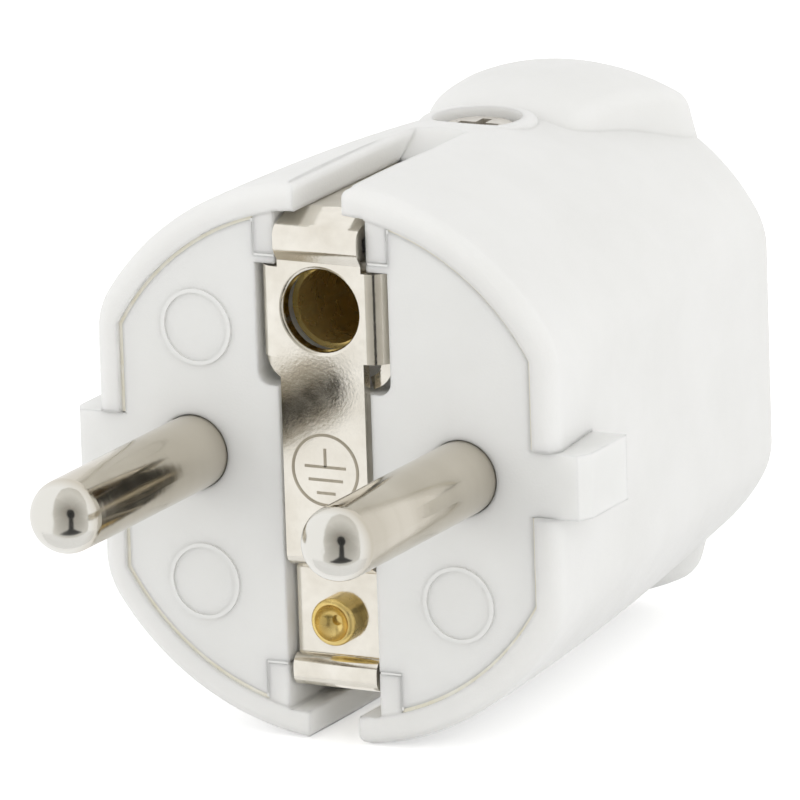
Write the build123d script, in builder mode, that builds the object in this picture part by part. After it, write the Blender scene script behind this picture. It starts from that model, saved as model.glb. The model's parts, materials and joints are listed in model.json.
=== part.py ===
from build123d import *
import os

# Straight two-pin mains plug with earth contacts at top and bottom and a socket for an earth pin.
# Millimetres. X to the right when facing the pins, Y from the face into the body, Z up.
# The origin is the middle between the two pins, on the face of the contact carrier.

os.makedirs("parts", exist_ok=True)

# Standard sizes of the pins and earth contacts. The contacts are the height that the other heights follow
pin_radius = 2.4
pin_pitch = 19.0
pin_length = 19.0
pin_tip_round = 2.25
pin_neck_radius = 2.2
contact_height = 16.2
earth_pin_drop = 6.2

# Contact carrier: outline of the face, plate and side tabs
carrier_flat = 14.53
carrier_flat_height = 7.95
carrier_over_contact = 0.2
plate_thickness = 3.2
face_round = 0.5
tab_reach = 18.1
tab_half_height = 2.1
tab_depth = 6.0
tab_bevel_width = 0.5
tab_bevel_depth = 1.0
pin_hole_gap = 0.04

# Hood: lip around the face, wall, ends and the three stations of its outer form
mouth_gap = 0.04
lip_wall = 1.8
lip_flat_height = 8.7
lip_proud = 0.2
lip_round = 0.9
body_corner_round = 5.0
ledge = 0.6
hood_wall = 2.0
rear_wall = 2.4
hood_length = 38.7
rear_round = 1.2
crown_over_contact = 1.9
middle_flat_height = 8.0
rear_flat_height = 7.6
rear_under_contact = 0.5
cable_inlet_radius = 4.75
inlet_round = 1.0

# Grooves at top and bottom, the lugs they run in and the earth contacts' channel
groove_half_width = 1.75
groove_floor_end = 14.6
groove_end = 17.6
groove_foot_round = 2.0
groove_edge_round = 0.45
groove_edge_drop = 0.12
lug_half_width = 4.7
lug_drop = 2.85
lug_gap = 0.05
lug_foot_gap = 0.15
channel_floor = 0.8
channel_end = 15.2

# Finger humps at the rear, the one below lower and shorter. Each section: share of the way from the front
# of the hump to the rear of the hood, half width at the foot, half width at the shoulder, and the heights of
# the shoulder and of the crest over the contacts
hump_drop = 6.2
hump_shoulder_round = 1.2
upper_hump_front = 23.5
upper_hump_sections = (
    (0.0, 6.5, 3.6, -0.8, -0.2),
    (0.3, 7.1, 5.7, 1.15, 2.3),
    (0.56, 7.7, 6.25, 1.1, 2.55),
    (0.86, 8.6, 7.3, 0.3, 2.0),
    (1.0, 8.4, 6.9, -0.6, 1.0),
)
lower_hump_front = 30.0
lower_hump_sections = (
    (0.0, 6.6, 4.4, -2.0, -0.8),
    (0.4, 8.0, 6.1, -0.7, 0.7),
    (0.76, 9.0, 7.4, -0.6, 1.2),
    (1.0, 8.6, 7.0, -1.4, 0.3),
)

# Hood screws in their pockets
screw_place = 22.3
pocket_radius = 2.9
screw_seat_drop = 0.9
pocket_wall = 1.2
boss_depth = 1.9
collar_wall = 0.95
collar_over_seat = 2.25
collar_round = 0.45
rim_flare = 0.3
screw_head_radius = 2.6
screw_head_height = 1.8
screw_radius = 1.5
screw_length = 9.0
recess_length = 2.8
head_round = 0.7
screw_gap = 0.1

# Pins inside the plug, with their terminal screws
terminal_radius = 3.0
terminal_end = 14.0
terminal_gap = 0.4
wire_hole_radius = 1.5
wire_hole_depth = 8.0
terminal_screw_place = 10.5
terminal_screw_radius = 1.3
terminal_screw_head_radius = 2.2
terminal_screw_head_height = 1.8
terminal_screw_reach = 0.9
screw_slot_width = 0.7
screw_slot_depth = 0.8

# Earth strip: sheet, widths and the line it is folded along
sheet = 0.8
strip_half_width = 2.95
strip_proud = 0.25
strip_gap = 0.3
nose_proud = 0.75
upper_nose_high_drop = 1.15
upper_nose_low_drop = 2.25
strip_top_drop = 2.95
step_height = 6.2
step_depth = 1.3
step_run = 0.7
strip_bottom_drop = 3.15
lower_nose_front = 0.1
lower_nose_low_drop = 1.95
fold_radius = 0.45
upper_tail_front = 2.2
lower_tail_front = 5.6
tail_end = 14.4
ear_half_width = 4.45
ear_depth = 2.0
ear_bend = 0.85
ear_top = 2.65
ear_bottom = 3.2
tongue_front = 0.9
tongue_radius = 1.5
tongue_turn = 75.0
pocket_depth = 2.2
pocket_half_width = 4.7
pocket_top = 2.75
pocket_bottom = 5.2
pocket_corner = 0.9
socket_hole_radius = 2.65
socket_hole_round = 0.25

# Socket for the earth pin: rolled brass sleeve in a blind tube of the carrier
socket_radius = 2.45
socket_sheet = 0.35
socket_front = 1.4
socket_length = 15.8
socket_slit = 1.0
socket_seat = 0.05
tube_wall = 1.0
tube_floor = 0.8

# Tubular rivet and earth terminal behind the lower plate
rivet_rise = 2.75
rivet_radius = 1.55
rivet_proud = 1.2
rivet_shank_radius = 1.2
rivet_cup_radius = 1.2
rivet_cup_depth = 0.85
rivet_dimple_radius = 0.35
rivet_dimple_depth = 1.1
rivet_round = 0.35
rivet_tail_radius = 1.8
rivet_tail = 0.6
rivet_gap = 0.05
earth_plate = 1.0
earth_plate_margin = 0.3
earth_block_half_width = 3.0
earth_block_top = -0.4
earth_block_height = 6.0
earth_block_end = 12.0

# Rear of the carrier: screw posts and cable clamp
post_half_width = 4.0
post_length = 7.5
post_depth = 5.2
beam_height = 1.8
cable_radius = 3.9
clamp_place = 30.0
clamp_length = 5.0
clamp_thickness = 1.8
clamp_side_gap = 0.9
saddle_length = 6.4
saddle_depth = 8.0
clamp_screw_radius = 1.4
clamp_screw_reach = 6.0
clamp_screw_head_radius = 2.0
clamp_screw_head_height = 1.6
overlap = 0.5

# Sizes that follow from the ones above
earth_pin_height = contact_height - earth_pin_drop
carrier_crown = contact_height + carrier_over_contact
rear_crown = contact_height - rear_under_contact
lug_height = contact_height - lug_drop
hump_foot = contact_height - hump_drop
pocket_floor = contact_height - screw_seat_drop
collar_height = pocket_floor + collar_over_seat
strip_top = contact_height - strip_top_drop
strip_bottom = contact_height - strip_bottom_drop
rivet_height = strip_bottom - rivet_rise
mouth_flat = carrier_flat + mouth_gap
mouth_crown = carrier_crown + mouth_gap
front_flat = mouth_flat + lip_wall
front_crown = mouth_crown + lip_wall
middle_flat = pin_pitch / 2 + terminal_radius + terminal_gap + hood_wall
middle_crown = contact_height + crown_over_contact
clamp_screw_place = cable_radius + clamp_thickness + clamp_screw_head_radius + screw_gap
clamp_half_width = clamp_screw_place + clamp_screw_head_radius
rear_flat = clamp_half_width + clamp_side_gap + hood_wall
chamber_end = hood_length - rear_wall
hump_hollow_front = screw_place + pocket_radius + pocket_wall
collar_radius = pocket_radius + collar_wall
strip_back = sheet - strip_proud
lower_plate_back = strip_back + step_depth
lower_plate_front = lower_plate_back - sheet
socket_outer = socket_radius + socket_sheet
tube_radius = socket_outer + socket_seat + tube_wall
tube_end = socket_front + socket_length + tube_floor
channel_half_width = strip_half_width + lug_gap
channel_height = contact_height - sheet - lug_gap
post_height = pocket_floor - boss_depth - lug_gap
post_front = screw_place - post_length / 2
beam_outer = channel_height - channel_floor - lug_gap
saddle_front = clamp_place - saddle_length / 2
rivet_end = plate_thickness + earth_plate + rivet_tail
far = 60.0


def station(y):
    """Plane across the plug at depth y, with X and Z as its own axes."""
    return Plane.XZ.offset(-y)


def flat_sided(y, flat, flat_height, crown, corner_round=0):
    """Round section with two straight sides: half width, half height of the sides, half height."""
    with BuildSketch(station(y)) as section:
        with BuildLine():
            right = Line((flat, -flat_height), (flat, flat_height))
            ThreePointArc(right @ 1, (0, crown), (-flat, flat_height))
            left = Line((-flat, flat_height), (-flat, -flat_height))
            ThreePointArc(left @ 1, (0, -crown), right @ 0)
        make_face()
        if corner_round:
            fillet(section.vertices(), corner_round)
    return section.sketch


def block(x_range, y_range, z_range, mode=Mode.ADD):
    """Box between two limits on each axis, given in either order."""
    spans = [sorted(span) for span in (x_range, y_range, z_range)]
    middle = tuple((low + high) / 2 for low, high in spans)
    with Locations(middle):
        Box(*(high - low for low, high in spans), mode=mode)


def rod(x, z, radius, y_start, y_end, mode=Mode.ADD):
    """Cylinder along Y."""
    with BuildSketch(station(y_start)) as disc:
        with Locations((x, z)):
            Circle(radius)
    extrude(disc.sketch, amount=y_start - y_end, mode=mode)


def post(x, y, radius, z_start, z_end, mode=Mode.ADD):
    """Cylinder along Z."""
    with BuildSketch(Plane.XY.offset(z_start)) as disc:
        with Locations((x, y)):
            Circle(radius)
    extrude(disc.sketch, amount=z_end - z_start, mode=mode)


def hump_form(front, sections, inset):
    """Finger hump on the upper side: domed sections that rise to the rear, taken in by the inset."""
    outlines = []
    for share, foot, shoulder, shoulder_rise, crest_rise in sections:
        shoulder_height = contact_height + shoulder_rise - inset
        crest = (0, contact_height + crest_rise - inset)
        with BuildSketch(station(front + share * (hood_length - front))) as section:
            with BuildLine():
                base = Line((inset - foot, hump_foot), (foot - inset, hump_foot))
                side = Line(base @ 1, (shoulder - inset, shoulder_height))
                top = ThreePointArc(side @ 1, crest, (inset - shoulder, shoulder_height))
                Line(top @ 1, base @ 0)
            make_face()
            fillet(section.vertices().group_by(Axis.Y)[-1], hump_shoulder_round)
        outlines.append(section.sketch)
    with BuildPart() as form:
        loft(outlines)
    return form.part


def hump_hollow_form(front, sections):
    """Hollow under a finger hump on the upper side, between the screw boss and the rear wall."""
    with BuildPart() as form:
        add(hump_form(front, sections, hood_wall))
        block((-far, far), (hump_hollow_front, chamber_end), (0, far), Mode.INTERSECT)
    return form.part


def groove_form():
    """Space of the upper groove: soft edges along the top and a ramp up to its rear end."""
    edge_width = groove_half_width + groove_edge_round
    edge_top = middle_crown - groove_edge_drop
    wall_top = edge_top - groove_edge_round
    turn = groove_edge_round * (1 - 0.5 ** 0.5)
    with BuildPart() as form:
        with BuildSketch(station(-far)):
            with BuildLine():
                floor = Line((-groove_half_width, contact_height), (groove_half_width, contact_height))
                wall = Line(floor @ 1, (groove_half_width, wall_top))
                edge = ThreePointArc(
                    wall @ 1, (groove_half_width + turn, edge_top - turn), (edge_width, edge_top)
                )
                rise = Line(edge @ 1, (edge_width, far))
                across = Line(rise @ 1, (-edge_width, far))
                drop = Line(across @ 1, (-edge_width, edge_top))
                far_edge = ThreePointArc(
                    drop @ 1, (-groove_half_width - turn, edge_top - turn), (-groove_half_width, wall_top)
                )
                Line(far_edge @ 1, floor @ 0)
            make_face()
        extrude(amount=-far - groove_end)
        with BuildSketch(Plane.YZ) as side_view:
            with BuildLine():
                Polyline(
                    (-far, contact_height),
                    (groove_floor_end, contact_height),
                    (groove_end, middle_crown),
                    (groove_end, far),
                    (-far, far),
                    close=True,
                )
            make_face()
            foot = side_view.vertices().group_by(Axis.Y)[0].sort_by(Axis.X)[-1]
            fillet(foot, groove_foot_round)
        extrude(amount=far, both=True, mode=Mode.INTERSECT)
    return form.part


def collar_form():
    """Low round collar about the upper screw pocket, with a flared rim."""
    with BuildPart() as form:
        post(0, screw_place, collar_radius, pocket_floor, collar_height)
        fillet(form.edges().group_by(Axis.Z)[-1], collar_round)
        with Locations((0, screw_place, collar_height)):
            Cone(pocket_radius - rim_flare, pocket_radius + rim_flare, 2 * rim_flare, mode=Mode.SUBTRACT)
    return form.part


def rims(builder, radius):
    """Round edges of the given radius, from the front to the rear."""
    round_edges = builder.edges().filter_by(GeomType.CIRCLE)
    return round_edges.filter_by(lambda edge: abs(edge.radius - radius) < 1e-6).sort_by(Axis.Y)


def screw_along_z(x, y, side, seat, tip, shank_radius, head_radius, head_height, recess):
    """Screw from tip to seat with a round head on it, and the straight cuts of its recess in the head."""
    top = seat + side * head_height
    post(x, y, shank_radius, tip, seat)
    post(x, y, head_radius, seat, top)
    for length, width in recess:
        cut = ((x - length / 2, x + length / 2), (y - width / 2, y + width / 2))
        block(*cut, (top - side * screw_slot_depth, top), Mode.SUBTRACT)


def finish(builder, name):
    """Names a finished piece and writes its file."""
    builder.part.label = name
    export_step(builder.part, f"parts/{name}.step")


# Hood

upper_hump = hump_form(upper_hump_front, upper_hump_sections, 0)
lower_hump = hump_form(lower_hump_front, lower_hump_sections, 0)
upper_hollow = hump_hollow_form(upper_hump_front, upper_hump_sections)
lower_hollow = hump_hollow_form(lower_hump_front, lower_hump_sections)
groove = groove_form()
collar = collar_form()
lug_width = (-lug_half_width, lug_half_width)
channel_width = (-channel_half_width, channel_half_width)
strip_channel = (-strip_half_width - strip_gap, strip_half_width + strip_gap)
inner_crown = middle_crown - hood_wall
notch_half_height = tab_half_height + lug_gap

with BuildPart() as hood:
    loft([
        flat_sided(-lip_proud, front_flat, lip_flat_height, front_crown, body_corner_round),
        flat_sided(terminal_end, middle_flat, middle_flat_height, middle_crown, body_corner_round),
        flat_sided(hood_length, rear_flat, rear_flat_height, rear_crown, body_corner_round),
    ])
    fillet(hood.faces().sort_by(Axis.Y)[0].edges(), lip_round)
    fillet(hood.faces().sort_by(Axis.Y)[-1].edges(), rear_round)
    for form in (upper_hump, collar, lower_hump.mirror(Plane.XY), collar.mirror(Plane.XY)):
        add(form)
    mouth = flat_sided(-lip_proud, mouth_flat, carrier_flat_height, mouth_crown)
    extrude(mouth, amount=-lip_proud - plate_thickness, mode=Mode.SUBTRACT)
    loft(
        [
            flat_sided(plate_thickness, mouth_flat - ledge, carrier_flat_height, mouth_crown - ledge),
            flat_sided(terminal_end, middle_flat - hood_wall, middle_flat_height, inner_crown),
            flat_sided(chamber_end, rear_flat - hood_wall, rear_flat_height, rear_crown - hood_wall),
        ],
        mode=Mode.SUBTRACT,
    )
    for form in (upper_hollow, lower_hollow.mirror(Plane.XY)):
        add(form, mode=Mode.SUBTRACT)
    for side, tail_front in ((1, upper_tail_front), (-1, lower_tail_front)):
        # Lug in the mouth, channel behind it and boss round the screw hole
        block(lug_width, (0, plate_thickness), (side * lug_height, side * (mouth_crown + overlap)))
        channel_box = (side * (channel_height - channel_floor), side * (inner_crown + overlap))
        block(lug_width, (plate_thickness - overlap, channel_end + channel_floor), channel_box)
        boss_start = side * (pocket_floor - boss_depth)
        post(0, screw_place, pocket_radius + pocket_wall, boss_start, side * inner_crown)
        # Channel under the groove, and the mouth where the strip comes up
        channel_span = (side * channel_height, side * (contact_height + lug_gap))
        block(channel_width, (-far, channel_end), channel_span, Mode.SUBTRACT)
        strip_span = (side * (lug_height - overlap), side * contact_height)
        block(strip_channel, (-far, tail_front + sheet), strip_span, Mode.SUBTRACT)
        # Screw pocket and hole
        post(0, screw_place, pocket_radius, side * pocket_floor, side * far, Mode.SUBTRACT)
        post(0, screw_place, screw_radius + screw_gap, 0, side * far, Mode.SUBTRACT)
        # Notch for the side tab
        notch = (side * (middle_flat - hood_wall), side * far)
        block(notch, (-far, tab_depth + mouth_gap), (-notch_half_height, notch_half_height), Mode.SUBTRACT)
    for form in (groove, groove.mirror(Plane.XY)):
        add(form, mode=Mode.SUBTRACT)
    rod(0, 0, cable_inlet_radius, chamber_end - overlap, hood_length + overlap, Mode.SUBTRACT)
    fillet(rims(hood, cable_inlet_radius)[-1], inlet_round)
finish(hood, "hood")

# Contact carrier

tab_root = pin_pitch / 2 + terminal_radius + terminal_gap
post_width = (-post_half_width, post_half_width)
post_end = post_front + post_length
beam_end = screw_place - pocket_radius - pocket_wall - lug_gap
saddle_end = saddle_front + saddle_length
pin_places = (-pin_pitch / 2, pin_pitch / 2)

with BuildPart() as carrier:
    extrude(flat_sided(0, carrier_flat, carrier_flat_height, carrier_crown), amount=-plate_thickness)
    fillet(carrier.faces().sort_by(Axis.Y)[0].edges(), face_round)
    with BuildSketch():
        for side in (1, -1):
            with BuildLine():
                Polyline(
                    (side * tab_root, 0),
                    (side * (tab_reach - tab_bevel_width), 0),
                    (side * tab_reach, tab_bevel_depth),
                    (side * tab_reach, tab_depth),
                    (side * tab_root, tab_depth),
                    close=True,
                )
            make_face()
    extrude(amount=tab_half_height, both=True)
    # Tube for the earth-pin sleeve, and the posts that the hood screws bite into
    rod(0, earth_pin_height, tube_radius, plate_thickness - overlap, tube_end)
    block(post_width, (tube_end - tube_wall, post_end), (post_height - post_depth, post_height))
    block(post_width, (plate_thickness - overlap, beam_end), (-beam_outer, -beam_outer + beam_height))
    block(post_width, (post_front - post_length / 2, saddle_end), (-post_height, -saddle_depth + overlap))
    # Saddle for the cable
    block((-clamp_half_width, clamp_half_width), (saddle_front, saddle_end), (-saddle_depth, 0))
    rod(0, 0, cable_radius, saddle_front - overlap, saddle_end + overlap, Mode.SUBTRACT)
    for x in (-clamp_screw_place, clamp_screw_place):
        post(x, clamp_place, clamp_screw_radius + screw_gap, 0, -clamp_screw_reach - overlap, Mode.SUBTRACT)
    for side in (1, -1):
        post(0, screw_place, screw_radius + screw_gap, 0, side * far, Mode.SUBTRACT)
        notch = (side * (lug_height - lug_foot_gap), side * far)
        lug_notch = (-lug_half_width - lug_gap, lug_half_width + lug_gap)
        block(lug_notch, (-overlap, plate_thickness), notch, Mode.SUBTRACT)
    # Barrels round the terminals, and the pin holes
    for x in pin_places:
        rod(x, 0, terminal_radius + tube_wall, plate_thickness - overlap, tab_depth)
        rod(x, 0, terminal_radius + pin_hole_gap, plate_thickness, tab_depth + overlap, Mode.SUBTRACT)
        rod(x, 0, pin_radius + pin_hole_gap, -overlap, plate_thickness + overlap, Mode.SUBTRACT)
    # Bed of the earth strip, with the pocket for the socket plate and its ears
    block(strip_channel, (-overlap, strip_back), (-far, far), Mode.SUBTRACT)
    block(strip_channel, (-overlap, lower_plate_back), (-far, sheet - step_height), Mode.SUBTRACT)
    with BuildSketch(station(0)) as pocket:
        pocket_span = pocket_top + pocket_bottom
        with Locations((0, earth_pin_height + (pocket_top - pocket_bottom) / 2)):
            Rectangle(2 * pocket_half_width, pocket_span)
        fillet(pocket.vertices().group_by(Axis.Y)[0], pocket_corner)
    extrude(amount=-pocket_depth, mode=Mode.SUBTRACT)
    rod(0, earth_pin_height, socket_outer + socket_seat, 0, tube_end - tube_floor, Mode.SUBTRACT)
    rod(0, -rivet_height, rivet_shank_radius + rivet_gap, 0, plate_thickness + overlap, Mode.SUBTRACT)
finish(carrier, "contact_carrier")

# Pins with their terminals, and the terminal screws

terminal_flat = terminal_radius - screw_slot_depth

for name, x in zip(("left", "right"), pin_places):
    with BuildPart() as pin:
        rod(x, 0, pin_radius, -pin_length, 0)
        fillet(pin.edges().group_by(Axis.Y)[0], pin_tip_round)
        rod(x, 0, pin_neck_radius, 0, plate_thickness)
        rod(x, 0, terminal_radius, plate_thickness, terminal_end)
        seat = (terminal_screw_place - terminal_screw_head_radius - screw_gap, terminal_end)
        across = (x - terminal_radius, x + terminal_radius)
        block(across, seat, (terminal_flat, terminal_radius), Mode.SUBTRACT)
        rod(x, 0, wire_hole_radius, terminal_end - wire_hole_depth, terminal_end, Mode.SUBTRACT)
        post(x, terminal_screw_place, terminal_screw_radius + screw_gap, 0, terminal_radius, Mode.SUBTRACT)
    finish(pin, f"{name}_pin")
    with BuildPart() as terminal_screw:
        screw_along_z(
            x, terminal_screw_place, 1, terminal_flat, terminal_screw_reach,
            terminal_screw_radius, terminal_screw_head_radius, terminal_screw_head_height,
            [(2 * terminal_screw_head_radius, screw_slot_width)],
        )
    finish(terminal_screw, f"{name}_terminal_screw")

# Earth strip, folded from one sheet

strip_middle = sheet / 2 - strip_proud
lower_middle = strip_middle + step_depth
nose_middle = sheet / 2 - nose_proud
lower_nose_middle = sheet / 2 + lower_nose_front
tail_middle = contact_height - sheet / 2

with BuildPart() as strip:
    with BuildSketch(Plane.YZ):
        with BuildLine():
            FilletPolyline(
                (tail_end, tail_middle),
                (upper_tail_front, tail_middle),
                (nose_middle, contact_height - upper_nose_high_drop),
                (nose_middle, contact_height - upper_nose_low_drop),
                (strip_middle, strip_top),
                (strip_middle, -step_height),
                (lower_middle, -step_height - step_run),
                (lower_middle, -strip_bottom),
                (lower_nose_middle, -strip_bottom),
                (lower_nose_middle, lower_nose_low_drop - contact_height),
                (lower_tail_front, -tail_middle),
                (tail_end, -tail_middle),
                radius=fold_radius,
            )
        trace(line_width=sheet)
    extrude(amount=strip_half_width, both=True)
    with BuildSketch(Plane.XY.offset(earth_pin_height - ear_bottom)):
        with BuildLine():
            FilletPolyline(
                (-ear_half_width + sheet / 2, ear_depth),
                (-ear_half_width + sheet / 2, strip_middle),
                (ear_half_width - sheet / 2, strip_middle),
                (ear_half_width - sheet / 2, ear_depth),
                radius=ear_bend,
            )
        trace(line_width=sheet)
    extrude(amount=ear_bottom + ear_top)
    for side, start in ((1, 0), (-1, 180)):
        # Tongue that curls in under the ear
        with BuildSketch(station(tongue_front)):
            with BuildLine():
                wall = side * (ear_half_width - sheet / 2)
                foot = earth_pin_height - ear_bottom
                Line((wall, foot + overlap), (wall, foot))
                CenterArc((wall - side * tongue_radius, foot), tongue_radius, start, -side * tongue_turn)
            trace(line_width=sheet)
        extrude(amount=tongue_front - ear_depth)
    rod(0, earth_pin_height, socket_hole_radius, -overlap - sheet, strip_back + overlap, Mode.SUBTRACT)
    rod(0, -rivet_height, rivet_shank_radius + rivet_gap, 0, lower_plate_back + overlap, Mode.SUBTRACT)
    fillet(rims(strip, socket_hole_radius)[0], socket_hole_round)
finish(strip, "earth_strip")

# Rolled sleeve that takes the earth pin of a socket outlet

socket_end = socket_front + socket_length

with BuildPart() as socket_sleeve:
    rod(0, earth_pin_height, socket_outer, socket_front, socket_end)
    rod(0, earth_pin_height, socket_radius, socket_front, socket_end, Mode.SUBTRACT)
    slit = (earth_pin_height - socket_slit / 2, earth_pin_height + socket_slit / 2)
    block((0, socket_outer), (socket_front, socket_end), slit, Mode.SUBTRACT)
finish(socket_sleeve, "earth_socket")

# Tubular rivet through the lower plate, the carrier and the earth terminal

rivet_front = lower_plate_front - rivet_proud
rivet_cup_round = (rivet_cup_radius ** 2 + rivet_cup_depth ** 2) / (2 * rivet_cup_depth)

with BuildPart() as rivet:
    rod(0, -rivet_height, rivet_radius, rivet_front, lower_plate_front)
    fillet(rivet.edges().group_by(Axis.Y)[0], rivet_round)
    rod(0, -rivet_height, rivet_shank_radius, lower_plate_front, rivet_end - rivet_tail)
    rod(0, -rivet_height, rivet_tail_radius, rivet_end - rivet_tail, rivet_end)
    with Locations((0, rivet_front + rivet_cup_depth - rivet_cup_round, -rivet_height)):
        Sphere(rivet_cup_round, mode=Mode.SUBTRACT)
    rod(0, -rivet_height, rivet_dimple_radius, rivet_front, rivet_front + rivet_dimple_depth, Mode.SUBTRACT)
finish(rivet, "earth_rivet")

# Earth terminal: a plate under the rivet that carries the wire block, and its screw

block_width = (-earth_block_half_width, earth_block_half_width)
plate_low = -rivet_height - rivet_tail_radius - earth_plate_margin
block_span = (earth_block_top - earth_block_height, earth_block_top)
plate_back = plate_thickness + earth_plate
wire_height = earth_block_top - earth_block_height / 2
earth_screw_place = (plate_back + earth_block_end) / 2

with BuildPart() as earth_terminal:
    block(block_width, (plate_thickness, plate_back), (plate_low, earth_block_top))
    block(block_width, (plate_back, earth_block_end), block_span)
    rod(0, wire_height, wire_hole_radius, plate_back, earth_block_end, Mode.SUBTRACT)
    rod(0, -rivet_height, rivet_shank_radius + rivet_gap, plate_thickness, plate_back, Mode.SUBTRACT)
    post(0, earth_screw_place, terminal_screw_radius + screw_gap, wire_height, earth_block_top, Mode.SUBTRACT)
finish(earth_terminal, "earth_terminal")

with BuildPart() as earth_screw:
    screw_along_z(
        0, earth_screw_place, 1, earth_block_top, wire_height + terminal_screw_reach,
        terminal_screw_radius, terminal_screw_head_radius, terminal_screw_head_height,
        [(2 * terminal_screw_head_radius, screw_slot_width)],
    )
finish(earth_screw, "earth_terminal_screw")

# Hood screws at top and bottom, with a cross recess

cross = [(recess_length, screw_slot_width), (screw_slot_width, recess_length)]

for name, side in (("upper", 1), ("lower", -1)):
    with BuildPart() as hood_screw:
        screw_along_z(
            0, screw_place, side, side * pocket_floor, side * (pocket_floor - screw_length),
            screw_radius, screw_head_radius, screw_head_height, cross,
        )
        head_rims = rims(hood_screw, screw_head_radius)
        fillet(head_rims.sort_by_distance((0, screw_place, 0))[-1], head_round)
    finish(hood_screw, f"{name}_hood_screw")

# Cable clamp over the saddle, and its two screws

clamp_width = (-clamp_half_width, clamp_half_width)
clamp_span = (clamp_place - clamp_length / 2, clamp_place + clamp_length / 2)

with BuildPart() as clamp:
    block(clamp_width, clamp_span, (0, clamp_thickness))
    rod(0, 0, cable_radius + clamp_thickness, *clamp_span)
    block((-far, far), clamp_span, (-far, 0), Mode.SUBTRACT)
    rod(0, 0, cable_radius, *clamp_span, Mode.SUBTRACT)
    for x in (-clamp_screw_place, clamp_screw_place):
        post(x, clamp_place, clamp_screw_radius + screw_gap, 0, far, Mode.SUBTRACT)
finish(clamp, "cable_clamp")

for name, x in (("left", -clamp_screw_place), ("right", clamp_screw_place)):
    with BuildPart() as clamp_screw:
        screw_along_z(
            x, clamp_place, 1, clamp_thickness, -clamp_screw_reach,
            clamp_screw_radius, clamp_screw_head_radius, clamp_screw_head_height, cross,
        )
    finish(clamp_screw, f"{name}_clamp_screw")
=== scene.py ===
import json
import math
import bmesh
import bpy
from mathutils import Matrix, Vector


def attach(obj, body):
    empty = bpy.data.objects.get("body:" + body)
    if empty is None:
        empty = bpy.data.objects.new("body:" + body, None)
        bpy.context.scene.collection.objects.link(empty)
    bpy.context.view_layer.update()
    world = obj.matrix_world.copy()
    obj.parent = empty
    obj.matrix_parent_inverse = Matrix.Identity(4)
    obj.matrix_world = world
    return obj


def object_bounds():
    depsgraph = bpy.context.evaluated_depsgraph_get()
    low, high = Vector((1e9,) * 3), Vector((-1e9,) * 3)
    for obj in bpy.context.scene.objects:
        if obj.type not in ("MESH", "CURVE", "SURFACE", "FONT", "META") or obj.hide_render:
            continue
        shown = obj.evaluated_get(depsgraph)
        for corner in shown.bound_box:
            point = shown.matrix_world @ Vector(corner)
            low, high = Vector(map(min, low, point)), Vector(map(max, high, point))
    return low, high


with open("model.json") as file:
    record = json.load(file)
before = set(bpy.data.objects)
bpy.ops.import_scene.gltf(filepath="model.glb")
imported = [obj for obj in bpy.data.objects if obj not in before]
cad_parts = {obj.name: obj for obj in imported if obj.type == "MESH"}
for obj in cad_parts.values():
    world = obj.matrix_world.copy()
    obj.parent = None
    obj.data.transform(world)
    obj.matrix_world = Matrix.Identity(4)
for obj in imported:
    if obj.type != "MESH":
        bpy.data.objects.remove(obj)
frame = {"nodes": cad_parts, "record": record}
cad_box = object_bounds()
scene = bpy.context.scene
MM = 0.001

# Camera: the photograph's viewing angle
AZIMUTH = math.radians(27.48)
ELEVATION = math.radians(14.26)
ROLL = math.radians(-1.89)
DISTANCE = 0.871
TARGET = Vector((5.322, 0, 4.671)) * MM
LENS = 625.5
SENSOR = 36.0
CLIP_END = 10.0

# Light and floor
WHITE = (1, 1, 1, 1)
WORLD_STRENGTH = 0.915
LAMP_SIZE = 0.5
LAMPS = {"key": (Vector((0.5, -0.15, 0.1)), 0.66), "fill": (Vector((-0.4, -0.45, 0.1)), 0.78)}
FLOOR_HALF_SIZE = 3.0
FLOOR_COLOUR = (0.92, 0.92, 0.92, 1)
FLOOR_ROUGHNESS = 0.9
FLOOR_GLOW = 0.42

# Cards that only bright metal mirrors: the light tent's open front and floor, and the camera on its stand
# Each outline is in degrees to the right of the camera's direction and above it, as seen from the plug
CARD_DISTANCE = 0.5
NEAR_CARD_DISTANCE = 0.25
OPENING_OUTLINE = (
    (-52, -52), (58, -52), (60, -20), (58, 15), (50, 50),
    (30, 80), (0, 92), (-26, 80), (-42, 50), (-48, 15), (-50, -20),
)
OPENING_SHADES = ((0.18, 0.16, 0.125), (0.75, 0.735, 0.70))
TABLE_OUTLINE = (
    (-90, -53), (-60, -53), (-30, -53), (0, -53), (30, -53), (60, -53), (90, -53),
    (80, -90), (40, -110), (0, -115), (-40, -110), (-80, -90),
)
TABLE_SHADES = ((0.85, 0.85, 0.85), (0.95, 0.95, 0.95))
CAMERA_OUTLINE = ((-9, -10), (9, -10), (13, 0), (9, 11), (0, 14), (-9, 11), (-13, 0))
STAND_OUTLINE = ((-36, -54), (36, -54), (8, -46), (6, -9), (-6, -9), (-8, -46))
DARK_SHADES = ((0.02, 0.02, 0.02), (0.06, 0.06, 0.06))

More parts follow.
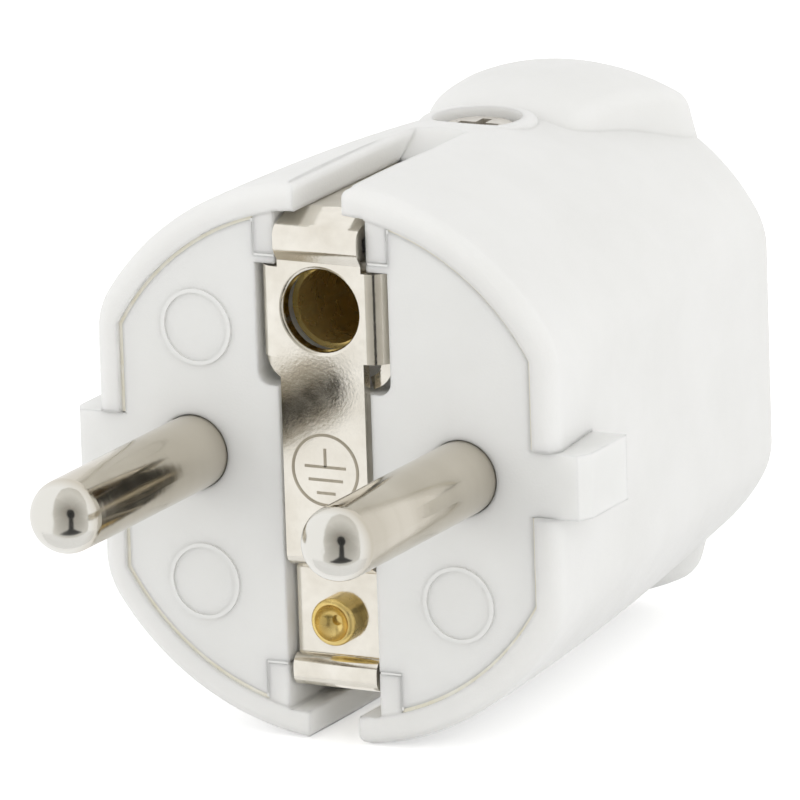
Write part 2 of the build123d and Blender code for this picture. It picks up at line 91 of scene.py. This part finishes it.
# Colours: the two ends between which each one varies, and the lighter tips of the pins, a painted reflection
# of the bright light they catch
WHITE_HOOD = ((0.79, 0.787, 0.765), (0.83, 0.827, 0.808))
WHITE_CARRIER = ((0.785, 0.785, 0.765), (0.815, 0.815, 0.797))
# Cream of the strips in the face's joint: a painted glow, the light that the translucent plastic lets into
# the joint
JOINT_GLOW_CREAM = ((0.76, 0.72, 0.58), (0.85, 0.83, 0.75))
PIN_NICKEL = ((0.56, 0.515, 0.43), (0.69, 0.645, 0.56))
STRIP_NICKEL = ((0.77, 0.725, 0.635), (0.91, 0.875, 0.795))
# Darker nickel of the earth sign: painted shade of its engraved lines
SIGN_NICKEL_PAINTED_SHADE = ((0.48, 0.43, 0.34), (0.60, 0.55, 0.45))
BRASS = ((0.74, 0.54, 0.17), (0.93, 0.72, 0.29))
ZINC = ((0.58, 0.54, 0.48), (0.76, 0.73, 0.67))
# Lighter colour of the pins' tips, a painted reflection of the bright light they mirror, and where along Y
# it comes in
PAINTED_TIP_SHEEN = (0.80, 0.785, 0.735)
PAINTED_TIP_SHEEN_RANGE = (-17.0 * MM, -17.9 * MM)

# Finishes: the values of each material, as surface() describes them
NOISE_DETAIL = 4.0
NOISE_LOW = 0.3
NOISE_HIGH = 0.7
TRANSLUCENT = {"subsurface_weight": 0.6, "subsurface_scale": 1.5 * MM, "subsurface_radius": (1.0, 1.0, 1.0)}
CARRIER_FINISH = {
    "colours": WHITE_CARRIER, "mottle": 150, "roughness": (0.36, 0.48), "polish": 900,
    "wave": (250, 0.01 * MM), "grain": (6000, 0.006 * MM),
}
FINISHES = {
    "hood_plastic": {
        "colours": WHITE_HOOD, "mottle": 120, "roughness": (0.34, 0.44), "polish": 900,
        "wave": (250, 0.01 * MM), "grain": (6000, 0.006 * MM), "edge": 0.4 * MM, **TRANSLUCENT,
    },
    "carrier_plastic": {**CARRIER_FINISH, "edge": 0.3 * MM, **TRANSLUCENT},
    "pin_nickel": {
        "colours": PIN_NICKEL, "mottle": 160, "roughness": (0.10, 0.18), "polish": 700,
        "wave": (200, 0.004 * MM), "grain": (2500, 0.002 * MM), "stretch": (0.15, 1, 0.15),
        # The tips are lighter: a painted reflection of the bright light that they mirror
        "worn": (PAINTED_TIP_SHEEN, *PAINTED_TIP_SHEEN_RANGE), "metallic": 1.0,
    },
    "strip_nickel": {
        "colours": STRIP_NICKEL, "mottle": 420, "roughness": (0.09, 0.17), "polish": 800,
        "wave": (200, 0.002 * MM), "grain": (5000, 0.0014 * MM), "metallic": 1.0,
    },
    "contact_brass": {
        "colours": BRASS, "mottle": 500, "roughness": (0.18, 0.32), "polish": 900,
        "wave": (500, 0.01 * MM), "grain": (2500, 0.004 * MM), "metallic": 0.8,
    },
    "screw_steel": {
        "colours": ZINC, "mottle": 600, "roughness": (0.25, 0.4), "polish": 900,
        "wave": (500, 0.006 * MM), "grain": (2500, 0.005 * MM), "metallic": 0.75,
    },
    "mark_plastic": CARRIER_FINISH,
    # Cream strips in the face's joint: a painted glow of the light that comes through the plastic into the
    # joint
    "painted_joint_glow": {
        "colours": JOINT_GLOW_CREAM, "mottle": 700, "roughness": (0.45, 0.6), "polish": 1500,
        "wave": (900, 0.02 * MM), "grain": (6000, 0.006 * MM),
    },
    # Earth sign: a darker nickel that paints the shade of engraved lines
    "sign_nickel_painted_shade": {
        "colours": SIGN_NICKEL_PAINTED_SHADE, "mottle": 900, "roughness": (0.4, 0.55), "polish": 1500,
        "wave": (900, 0.006 * MM), "grain": (6000, 0.004 * MM), "metallic": 1.0,
    },
}

# Earth sign in relief on the strip, in a darker nickel that paints the shade of engraved lines: each bar has
# a length and a height above the middle of the circle
STRIP_FRONT = -0.25 * MM
SIGN_HEIGHT = -0.3 * MM
SIGN_LINE = 0.18 * MM
SIGN_RELIEF = 0.03 * MM
SIGN_RADIUS = 2.28 * MM
SIGN_BARS = ((2.9 * MM, 0.2 * MM), (2.4 * MM, -0.65 * MM), (1.3 * MM, -1.5 * MM))
SIGN_STEM = 1.2 * MM

# Bare rings in relief on the face
FACE_FRONT = 0.0
RING_LINE = 0.25 * MM
RING_RELIEF = 0.12 * MM
RING_RADIUS = 2.35 * MM
RING_PLACES = ((-9.0 * MM, 8.2 * MM), (-9.0 * MM, -8.4 * MM), (9.0 * MM, -8.3 * MM))
CIRCLE_STEPS = 96

# Cream strip in the joint between the face and the hood, a painted glow of the light that the translucent
# plastic lets into the joint: the outline of the face, and the strip's rims and depths
FACE_FLAT = 14.53 * MM
FACE_FLAT_HEIGHT = 7.95 * MM
FACE_CROWN = 16.4 * MM
GLOW_STRIP_START = 4.75 * MM
GLOW_STRIP_END = 2.2 * MM
GLOW_STRIP_RIMS = (-0.2 * MM, 0.035 * MM)
GLOW_STRIP_DEPTHS = (0.35 * MM, 0.12 * MM)
GLOW_STRIP_STEPS = 40

# Flash round the hood's lugs: its rim beside the lug comes first, and then its rim in the face
LUG_SIDES = (4.705 * MM, 4.85 * MM)
LUG_FEET = (13.345 * MM, 13.1 * MM)
LUG_TOP = 15.6 * MM
LUG_INSIDE = 3.3 * MM
LUG_DEPTHS = (0.35 * MM, 0.03 * MM)

# Flash between the side tabs and the ends of the lip, set back a little from the lip's rounded outline
TAB_LEVELS = (2.105 * MM, 2.16 * MM)
TAB_START = 14.6 * MM
TAB_END = (15.7 * MM, 5.9 * MM)
LIP_CORNER = (15.4 * MM, 0.7 * MM)
LIP_ROUND = 0.82 * MM
LIP_STEPS = 12


def add_node(tree, kind, inputs=(), **settings):
    """Adds a shader node; an input is set to a value or linked to another node's output."""
    made = tree.nodes.new(kind)
    for key, value in settings.items():
        setattr(made, key, value)
    for key, value in dict(inputs).items():
        if isinstance(value, bpy.types.NodeSocket):
            tree.links.new(value, made.inputs[key])
        else:
            made.inputs[key].default_value = value
    return made


def noise(tree, place, scale, low, high, stretch):
    """Soft noise between two values; the scale is in features per metre."""
    mapping = add_node(tree, "ShaderNodeMapping", {"Vector": place, "Scale": stretch})
    pattern = {"Vector": mapping.outputs[0], "Scale": scale, "Detail": NOISE_DETAIL}
    texture = add_node(tree, "ShaderNodeTexNoise", pattern)
    spread = {
        "Value": texture.outputs[0], "From Min": NOISE_LOW, "From Max": NOISE_HIGH,
        "To Min": low, "To Max": high,
    }
    return add_node(tree, "ShaderNodeMapRange", spread).outputs[0]


def surface(
    name, colours, mottle, roughness, polish, wave, grain, stretch=(1, 1, 1), edge=0, worn=None, **constants
):
    """Material whose colour, gloss and relief vary over the piece. mottle and polish are the scales of the
    colour and gloss noise; wave and grain are the scale and depth of the broad and the fine relief;
    stretch scales all the noise along X, Y and Z; edge is the radius to which sharp edges look rounded;
    worn is a lighter colour that comes in between two places along Y, a painted reflection of the bright
    light that the pins' tips catch; the rest are constants of the shader."""
    material = bpy.data.materials.new(name)
    material.use_nodes = True
    tree = material.node_tree
    shader = tree.nodes["Principled BSDF"]
    place = add_node(tree, "ShaderNodeTexCoord").outputs["Object"]
    ramp = add_node(tree, "ShaderNodeValToRGB", {"Fac": noise(tree, place, mottle, 0, 1, stretch)})
    for stop, colour in zip(ramp.color_ramp.elements, colours):
        stop.color = (*colour, 1)
    colour = ramp.outputs["Color"]
    # Painted reflection: a lighter colour comes in towards the tips
    if worn:
        shade, start, end = worn
        along = add_node(tree, "ShaderNodeSeparateXYZ", {0: place}).outputs["Y"]
        sheen_share = add_node(tree, "ShaderNodeMapRange", {"Value": along, "From Min": start, "From Max": end})
        layers = {"Fac": sheen_share.outputs[0], "Color1": colour, "Color2": (*shade, 1)}
        colour = add_node(tree, "ShaderNodeMixRGB", layers).outputs[0]
    tree.links.new(colour, shader.inputs["Base Color"])
    tree.links.new(noise(tree, place, polish, *roughness, stretch), shader.inputs["Roughness"])
    normal = add_node(tree, "ShaderNodeBevel", {"Radius": edge}).outputs[0] if edge else None
    for scale, depth in (wave, grain):
        relief = {"Height": noise(tree, place, scale, 0, 1, stretch), "Distance": depth, "Strength": 1.0}
        if normal is not None:
            relief["Normal"] = normal
        normal = add_node(tree, "ShaderNodeBump", relief).outputs[0]
    tree.links.new(normal, shader.inputs["Normal"])
    for socket, value in constants.items():
        shader.inputs[socket.replace("_", " ").title()].default_value = value
    return material


def dress(piece, material):
    """Gives a piece one material."""
    piece.data.materials.clear()
    piece.data.materials.append(material)


def relief_piece(name, slot, material, vertices, faces):
    """Thin mark, flash or strip of painted glow that belongs to the plug."""
    mesh = bpy.data.meshes.new(name)
    mesh.from_pydata(vertices, [], faces)
    solid = bmesh.new()
    solid.from_mesh(mesh)
    bmesh.ops.recalc_face_normals(solid, faces=solid.faces)
    solid.to_mesh(mesh)
    solid.free()
    piece = bpy.data.objects.new(name, mesh)
    scene.collection.objects.link(piece)
    dress(piece, material)
    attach(piece, "root")


def band(inner, outer, back, front, closed):
    """Flat band between two lines of (x, z) points, as vertices and faces; a closed one joins its ends."""
    corners = ((inner, back), (outer, back), (outer, front), (inner, front))
    vertices = [(x, y, z) for line, y in corners for x, z in line]
    count = len(inner)
    starts = [count * corner for corner in range(len(corners))]
    faces = []
    for step in range(count if closed else count - 1):
        after = (step + 1) % count
        for start, end in zip(starts, starts[1:] + starts[:1]):
            faces.append((start + step, start + after, end + after, end + step))
    if not closed:
        faces.append(tuple(starts))
        faces.append(tuple(start + count - 1 for start in starts))
    return vertices, faces


def circle(x, z, radius):
    """Points round a circle."""
    turns = [math.tau * step / CIRCLE_STEPS for step in range(CIRCLE_STEPS)]
    return [(x + radius * math.cos(turn), z + radius * math.sin(turn)) for turn in turns]


def ring(x, z, radius, line, back, front):
    """Flat ring in a plane across Y, as vertices and faces."""
    return band(circle(x, z, radius - line / 2), circle(x, z, radius + line / 2), back, front, True)


def bar(x_range, z_range, back, front):
    """Flat bar in a plane across Y, as vertices and faces."""
    vertices = [(x, y, z) for y in (back, front) for z in z_range for x in x_range]
    faces = [(0, 1, 3, 2), (5, 4, 6, 7), (0, 4, 5, 1), (2, 3, 7, 6), (1, 5, 7, 3), (0, 2, 6, 4)]
    return vertices, faces


def sign_piece(name, shape):
    """Line of the earth sign, in a darker nickel that paints the shade of an engraved line."""
    relief_piece(name, "strip_nickel", materials["sign_nickel_painted_shade"], *shape)


def face_line(across, over, aside):
    """Quarter of the face's outline, moved out by a distance: along the crown and down the flat side."""
    middle = (FACE_CROWN**2 - FACE_FLAT**2 - FACE_FLAT_HEIGHT**2) / (2 * (FACE_CROWN - FACE_FLAT_HEIGHT))
    radius = FACE_CROWN - middle + aside
    reach = FACE_FLAT + aside
    points = []
    for step in range(GLOW_STRIP_STEPS + 1):
        x = GLOW_STRIP_START + (reach - GLOW_STRIP_START) * step / GLOW_STRIP_STEPS
        points.append((across * x, over * (middle + math.sqrt(radius**2 - x**2))))
    points.append((across * reach, over * GLOW_STRIP_END))
    return points


def lug_line(across, over, side, foot):
    """Line down the side of a lug and along its foot."""
    return [(across * x, over * z) for x, z in ((side, LUG_TOP), (side, foot), (LUG_INSIDE, foot))]


def tab_joint(across, over):
    """Plate between a side tab and the lip that ends above or below it, as vertices and faces."""
    corner_x, corner_y = LIP_CORNER
    turns = [math.pi / 2 * step / LIP_STEPS for step in range(LIP_STEPS + 1)]
    rim = [(corner_x + LIP_ROUND * math.sin(turn), corner_y - LIP_ROUND * math.cos(turn)) for turn in turns]
    outline = [(TAB_START, corner_y - LIP_ROUND), *rim, TAB_END, (TAB_START, TAB_END[1])]
    count = len(outline)
    vertices = [(across * x, y, over * z) for z in TAB_LEVELS for x, y in outline]
    faces = [tuple(range(count)), tuple(range(count, 2 * count))]
    for step in range(count):
        after = (step + 1) % count
        faces.append((step, after, count + after, count + step))
    return vertices, faces


def stage_piece(name, vertices, faces):
    """Surface of the stage round the plug."""
    mesh = bpy.data.meshes.new(name)
    mesh.from_pydata(vertices, [], faces)
    piece = bpy.data.objects.new(name, mesh)
    scene.collection.objects.link(piece)
    return piece


def shown_white(tree):
    """1 for the rays of the camera, mirrors and glass, so that the background reads white to them."""
    path = add_node(tree, "ShaderNodeLightPath")
    seen = path.outputs["Is Camera Ray"]
    for ray in ("Is Glossy Ray", "Is Transmission Ray"):
        either = {0: seen, 1: path.outputs[ray]}
        seen = add_node(tree, "ShaderNodeMath", either, operation="MAXIMUM").outputs[0]
    return seen


def mirror_card(name, outline, distance, shades):
    """Card that mirrors alone see, with its outline in degrees about the camera's direction. It goes from
    the first shade in the camera's direction to the second at its rim."""
    middle = [sum(values) / len(outline) for values in zip(*outline)]
    corners = []
    for across, over in (middle, *outline):
        away = math.radians(math.hypot(across, over))
        lean = math.atan2(across, over)
        aside = right * math.sin(lean) + up * math.cos(lean)
        corners.append(TARGET + distance * (toward_camera * math.cos(away) + aside * math.sin(away)))
    count = len(outline)
    card = stage_piece(name, corners, [(0, 1 + step, 1 + (step + 1) % count) for step in range(count)])
    card.visible_camera = False
    card.visible_diffuse = False
    card.visible_shadow = False
    paint = bpy.data.materials.new(name)
    paint.use_nodes = True
    tree = paint.node_tree
    paint_shader = tree.nodes["Principled BSDF"]
    place = add_node(tree, "ShaderNodeTexCoord").outputs["Object"]
    ends = {0: place, 1: TARGET + distance * toward_camera}
    apart = add_node(tree, "ShaderNodeVectorMath", ends, operation="DISTANCE").outputs["Value"]
    share = add_node(tree, "ShaderNodeMapRange", {"Value": apart, "From Max": distance}).outputs[0]
    near, far = shades
    fade = {"Fac": share, "Color1": (*near, 1), "Color2": (*far, 1)}
    shade = add_node(tree, "ShaderNodeMixRGB", fade).outputs[0]
    tree.links.new(shade, paint_shader.inputs["Base Color"])
    paint_shader.inputs["Roughness"].default_value = 1.0
    card.data.materials.append(paint)


# Materials of the solids, by the slot that the record gives each of them
materials = {name: surface(name, **finish) for name, finish in FINISHES.items()}
for part in frame["record"]["subparts"]:
    dress(frame["nodes"][part["node"]], materials[part["material_slot"]])

# Earth sign
sign_front = STRIP_FRONT - SIGN_RELIEF
sign_piece("earth_sign_circle", ring(0, SIGN_HEIGHT, SIGN_RADIUS, SIGN_LINE, STRIP_FRONT, sign_front))
for number, (length, height) in enumerate(SIGN_BARS):
    middle = SIGN_HEIGHT + height
    span = (middle - SIGN_LINE / 2, middle + SIGN_LINE / 2)
    sign_piece(f"earth_sign_bar_{number + 1}", bar((-length / 2, length / 2), span, STRIP_FRONT, sign_front))
stem_foot = SIGN_HEIGHT + SIGN_BARS[0][1]
stem = bar((-SIGN_LINE / 2, SIGN_LINE / 2), (stem_foot, stem_foot + SIGN_STEM), STRIP_FRONT, sign_front)
sign_piece("earth_sign_stem", stem)

# Face rings
for number, (x, z) in enumerate(RING_PLACES):
    mark = ring(x, z, RING_RADIUS, RING_LINE, FACE_FRONT, FACE_FRONT - RING_RELIEF)
    relief_piece(f"face_ring_{number + 1}", "carrier_plastic", materials["mark_plastic"], *mark)

# Pieces in the joints of each quarter of the face: the cream strip round the face is a painted glow of light
# in the joint, and flash fills the joints round the lugs and tabs
for side, across in (("left", -1), ("right", 1)):
    for level, over in (("upper", 1), ("lower", -1)):
        lines = [face_line(across, over, rim) for rim in GLOW_STRIP_RIMS]
        joint_piece = band(*lines, *GLOW_STRIP_DEPTHS, False)
        relief_piece(f"painted_glow_strip_{level}_{side}", "carrier_plastic", materials["painted_joint_glow"], *joint_piece)
        lines = [lug_line(across, over, *rim) for rim in zip(LUG_SIDES, LUG_FEET)]
        joint_piece = band(*lines, *LUG_DEPTHS, False)
        relief_piece(f"lug_flash_{level}_{side}", "carrier_plastic", materials["mark_plastic"], *joint_piece)
        joint_piece = tab_joint(across, over)
        relief_piece(f"tab_flash_{level}_{side}", "carrier_plastic", materials["mark_plastic"], *joint_piece)

# World
world = bpy.data.worlds.new("studio")
scene.world = world
world.use_nodes = True
background = world.node_tree.nodes["Background"]
background.inputs["Color"].default_value = WHITE
strength = {"Value": shown_white(world.node_tree), "To Min": WORLD_STRENGTH, "To Max": 1.0}
world_strength = add_node(world.node_tree, "ShaderNodeMapRange", strength)
world.node_tree.links.new(world_strength.outputs[0], background.inputs["Strength"])

# Floor
floor_height = cad_box[0][2]
floor_corners = [
    (x * FLOOR_HALF_SIZE, y * FLOOR_HALF_SIZE, floor_height) for x, y in ((-1, -1), (1, -1), (1, 1), (-1, 1))
]
floor = stage_piece("floor", floor_corners, [(0, 1, 2, 3)])
floor.visible_glossy = False
paper = bpy.data.materials.new("paper")
paper.use_nodes = True
paper_shader = paper.node_tree.nodes["Principled BSDF"]
paper_shader.inputs["Base Color"].default_value = FLOOR_COLOUR
paper_shader.inputs["Roughness"].default_value = FLOOR_ROUGHNESS
paper_shader.inputs["Emission Color"].default_value = WHITE
glow = {0: shown_white(paper.node_tree), 1: FLOOR_GLOW}
floor_glow = add_node(paper.node_tree, "ShaderNodeMath", glow, operation="MULTIPLY")
paper.node_tree.links.new(floor_glow.outputs[0], paper_shader.inputs["Emission Strength"])
floor.data.materials.append(paper)

# Soft lamps from the right and from the left
for name, (place, power) in LAMPS.items():
    lamp = bpy.data.objects.new(name, bpy.data.lights.new(name, "AREA"))
    lamp.data.energy = power
    lamp.data.size = LAMP_SIZE
    lamp.location = place
    lamp.rotation_euler = (TARGET - place).to_track_quat("-Z", "Y").to_euler()
    lamp.visible_glossy = False
    scene.collection.objects.link(lamp)

# Camera
toward_camera = Vector((
    math.sin(AZIMUTH) * math.cos(ELEVATION), -math.cos(AZIMUTH) * math.cos(ELEVATION), math.sin(ELEVATION)
))
sideways = (-toward_camera).cross(Vector((0, 0, 1))).normalized()
upward = sideways.cross(-toward_camera)
right = sideways * math.cos(ROLL) + upward * math.sin(ROLL)
up = upward * math.cos(ROLL) - sideways * math.sin(ROLL)
camera = bpy.data.objects.new("camera", bpy.data.cameras.new("camera"))
camera.data.lens = LENS
camera.data.sensor_width = SENSOR
camera.data.clip_end = CLIP_END
turn = Matrix((right, up, toward_camera)).transposed().to_4x4()
camera.matrix_world = Matrix.Translation(TARGET + toward_camera * DISTANCE) @ turn
scene.collection.objects.link(camera)
scene.camera = camera

# Mirrored cards
mirror_card("tent_opening", OPENING_OUTLINE, CARD_DISTANCE, OPENING_SHADES)
mirror_card("tent_floor", TABLE_OUTLINE, CARD_DISTANCE, TABLE_SHADES)
mirror_card("tent_camera", CAMERA_OUTLINE, NEAR_CARD_DISTANCE, DARK_SHADES)
mirror_card("tent_stand", STAND_OUTLINE, NEAR_CARD_DISTANCE, DARK_SHADES)

scene.view_settings.view_transform = "Standard"
